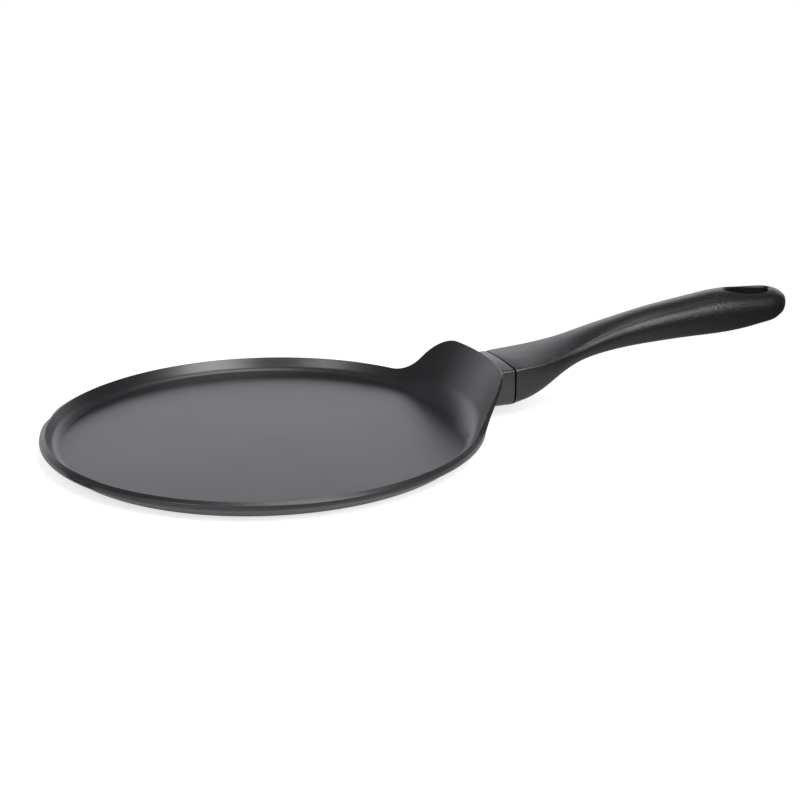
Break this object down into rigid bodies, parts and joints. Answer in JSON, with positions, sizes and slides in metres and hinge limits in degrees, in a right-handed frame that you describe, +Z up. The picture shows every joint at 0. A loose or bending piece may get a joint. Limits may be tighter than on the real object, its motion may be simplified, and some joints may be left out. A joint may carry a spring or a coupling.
{
  "type": "crepe pan",
  "caption": "Shallow round cast pan with a low flared wall, a raised lug and a waisted moulded handle with an oval hanging hole.",
  "frame": {"origin": "middle of the flat base, on the surface that the pan rests on", "axes": "+X runs from the middle of the dish along the handle, +Y is across it, +Z is up"},
  "size_m": [0.4464, 0.24, 0.058],
  "materials": {
    "coated_casting": "dark non-stick coating, satin",
    "handle_plastic": "fine grain, satin",
    "plated_steel": "zinc plated"
  },
  "bodies": {
    "root": {"pan_body": "coated_casting", "handle_grip": "handle_plastic", "handle_screw": "plated_steel", "flat_washer": "plated_steel", "spring_washer": "plated_steel"}
  },
  "joints": []
}
